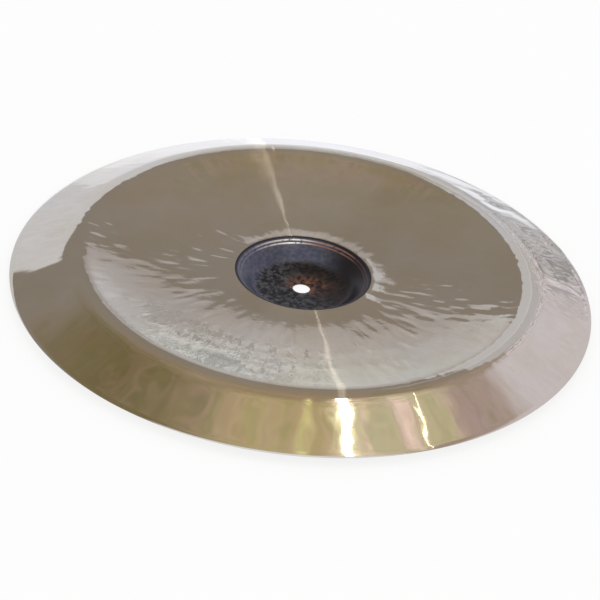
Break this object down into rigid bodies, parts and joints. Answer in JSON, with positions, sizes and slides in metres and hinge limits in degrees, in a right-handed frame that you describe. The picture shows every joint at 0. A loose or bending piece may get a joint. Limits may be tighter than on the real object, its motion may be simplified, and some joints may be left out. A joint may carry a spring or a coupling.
{
  "type": "china cymbal",
  "caption": "Thin bronze china cymbal: a shallow raw cup with a centre hole, a long dished bow, a rounded ridge and a flange turned back to the rim.",
  "frame": {"origin": "centre of the flat underside of the cup, the face that the cymbal sits on, on the axis of the hole", "axes": "+Z is the axis of the hole, out of the hollow side of the cup, as the cymbal hangs on its stand; X and Y are free, since the part is a shell of revolution"},
  "size_m": [0.4064, 0.4064, 0.0245],
  "materials": {
    "bronze": "hammered bell bronze, turned and polished bright, with a raw dark cup"
  },
  "bodies": {
    "root": {"cymbal": "bronze"}
  },
  "joints": []
}
